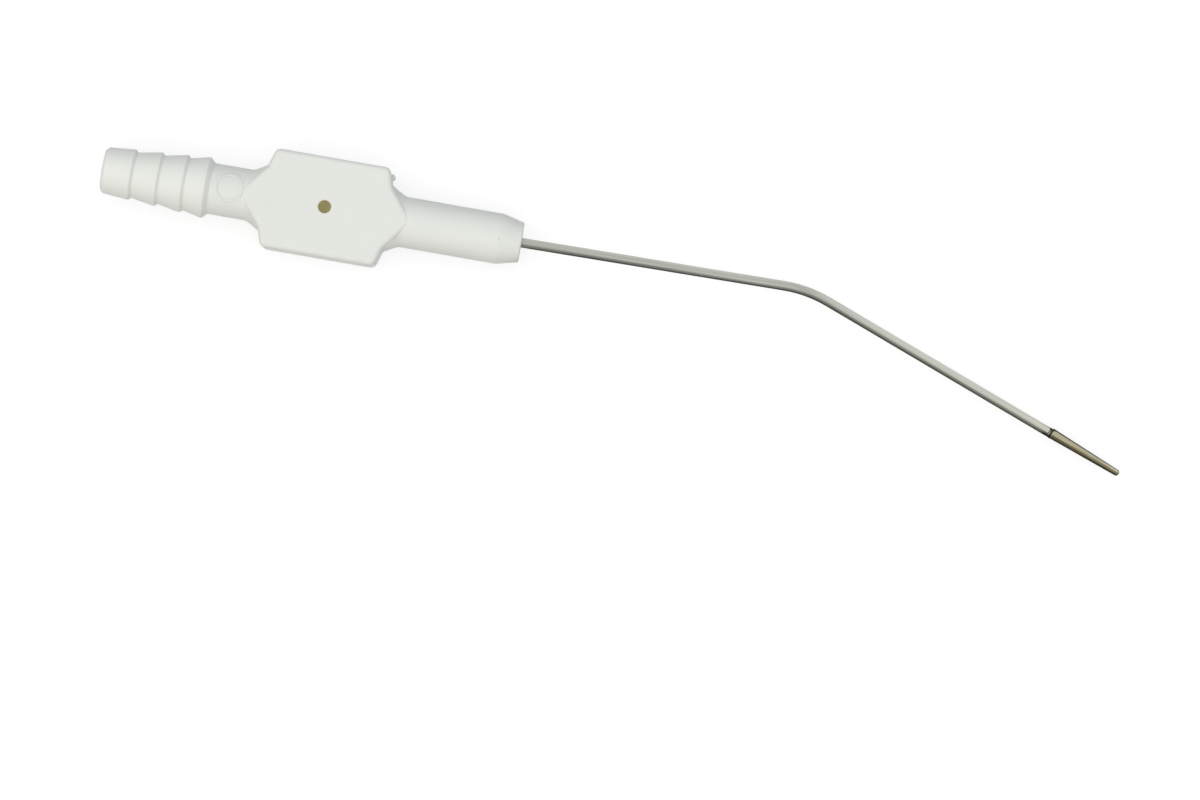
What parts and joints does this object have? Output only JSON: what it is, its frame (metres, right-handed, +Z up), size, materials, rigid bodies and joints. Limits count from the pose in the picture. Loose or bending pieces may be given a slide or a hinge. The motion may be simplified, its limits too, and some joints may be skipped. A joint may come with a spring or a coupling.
{
  "type": "ear suction tube",
  "caption": "Moulded white handle with a stepped hose barb, flat finger plate and vent hole, holding a bent steel suction tube with a tapered fine end.",
  "frame": {"origin": "on the surface it lies on, under the centre of its bounding box", "axes": "+X along the handle from the hose end towards the tip, +Y across the finger plate away from the bend, +Z up out of the vent side"},
  "size_m": [0.1658, 0.028, 0.0096],
  "materials": {
    "white_plastic": "smooth satin moulding, opaque white",
    "satin_steel": "drawn stainless tube, satin",
    "dark_bead": "dark set adhesive, slightly glossy",
    "tinted_metal": "tapered metal tube with a tan heat tint"
  },
  "bodies": {
    "root": {"handle": "white_plastic", "suction_tube": "satin_steel", "joint_bead": "dark_bead", "fine_end": "tinted_metal"}
  },
  "joints": []
}
